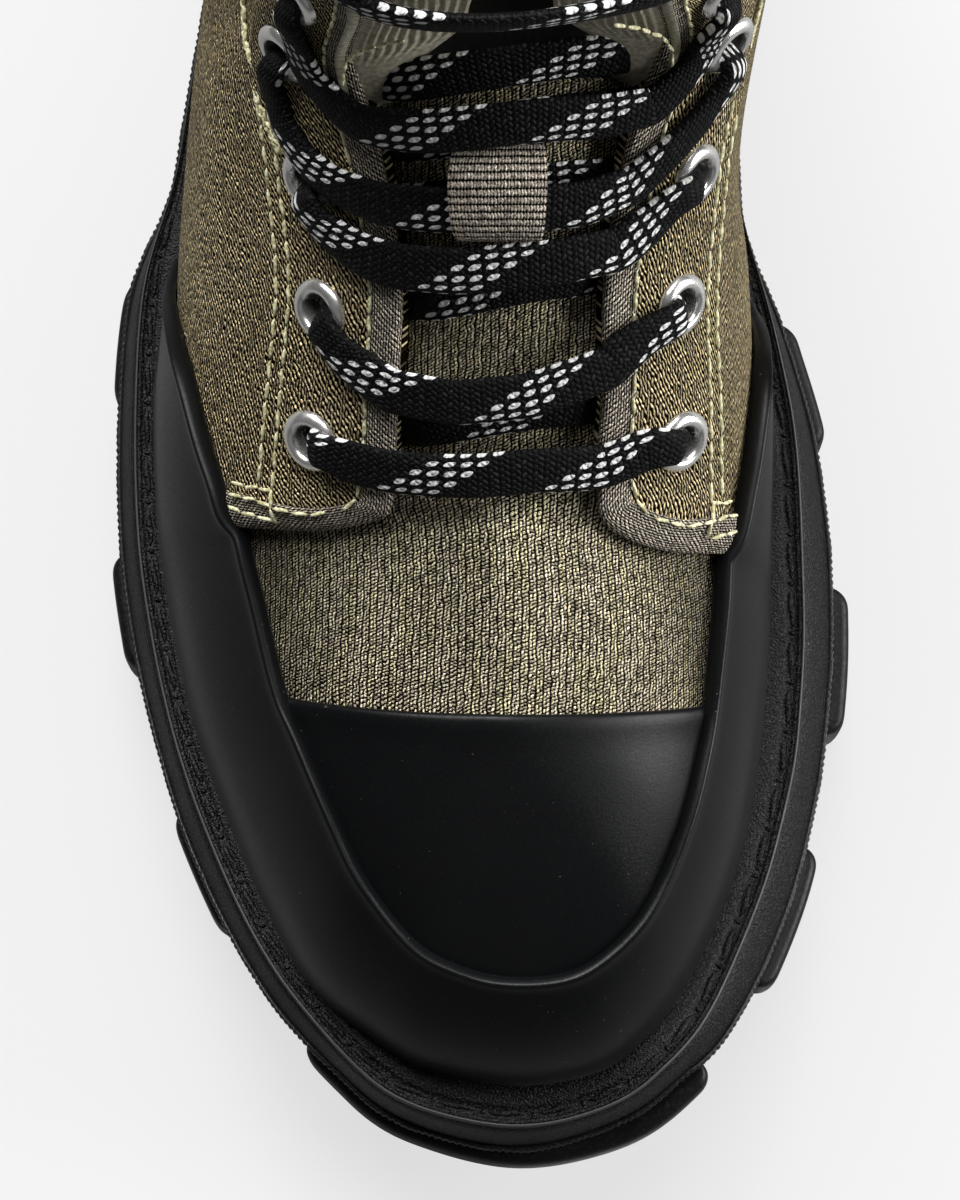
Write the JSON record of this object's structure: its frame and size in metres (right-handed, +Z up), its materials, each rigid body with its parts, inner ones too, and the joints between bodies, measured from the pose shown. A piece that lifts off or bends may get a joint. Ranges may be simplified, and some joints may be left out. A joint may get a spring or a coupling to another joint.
{
  "type": "lug sole ankle boot",
  "caption": "Laced ankle boot for the right foot: canvas upper, rubber toe cap and mudguard rand, stitched welt, thick lug sole, nickel eyelets and flat laces.",
  "frame": {"origin": "middle of the bounding box on the floor", "axes": "toe towards -Y, heel towards +Y, inner side of the right foot towards +X, +Z up"},
  "size_m": [0.1124, 0.2854, 0.1867],
  "materials": {
    "canvas": "coarse olive canvas weave",
    "black_rubber": "smooth satin",
    "sole_rubber": "fine matt grain",
    "tape": "ribbed taupe tape",
    "lace": "flat black braid with white dots",
    "nickel": "polished",
    "sock": "plain dark lining"
  },
  "bodies": {
    "root": {"upper": "canvas", "rand": "black_rubber", "toe_cap": "black_rubber", "eyestay_lateral": "canvas", "binding_lateral": "tape", "eyelet_lateral_1": "nickel", "eyelet_lateral_2": "nickel", "eyelet_lateral_3": "nickel", "eyelet_lateral_4": "nickel", "eyelet_lateral_5": "nickel", "eyelet_lateral_6": "nickel", "eyestay_medial": "canvas", "binding_medial": "tape", "eyelet_medial_1": "nickel", "eyelet_medial_2": "nickel", "eyelet_medial_3": "nickel", "eyelet_medial_4": "nickel", "eyelet_medial_5": "nickel", "eyelet_medial_6": "nickel", "tongue": "canvas", "tongue_loop": "tape", "insole": "sock", "welt": "sole_rubber", "midsole": "sole_rubber", "outsole": "sole_rubber", "lace_bar": "lace", "lace_cross_1": "lace", "lace_cross_2": "lace", "lace_cross_3": "lace", "lace_cross_4": "lace", "lace_cross_5": "lace"}
  },
  "joints": []
}
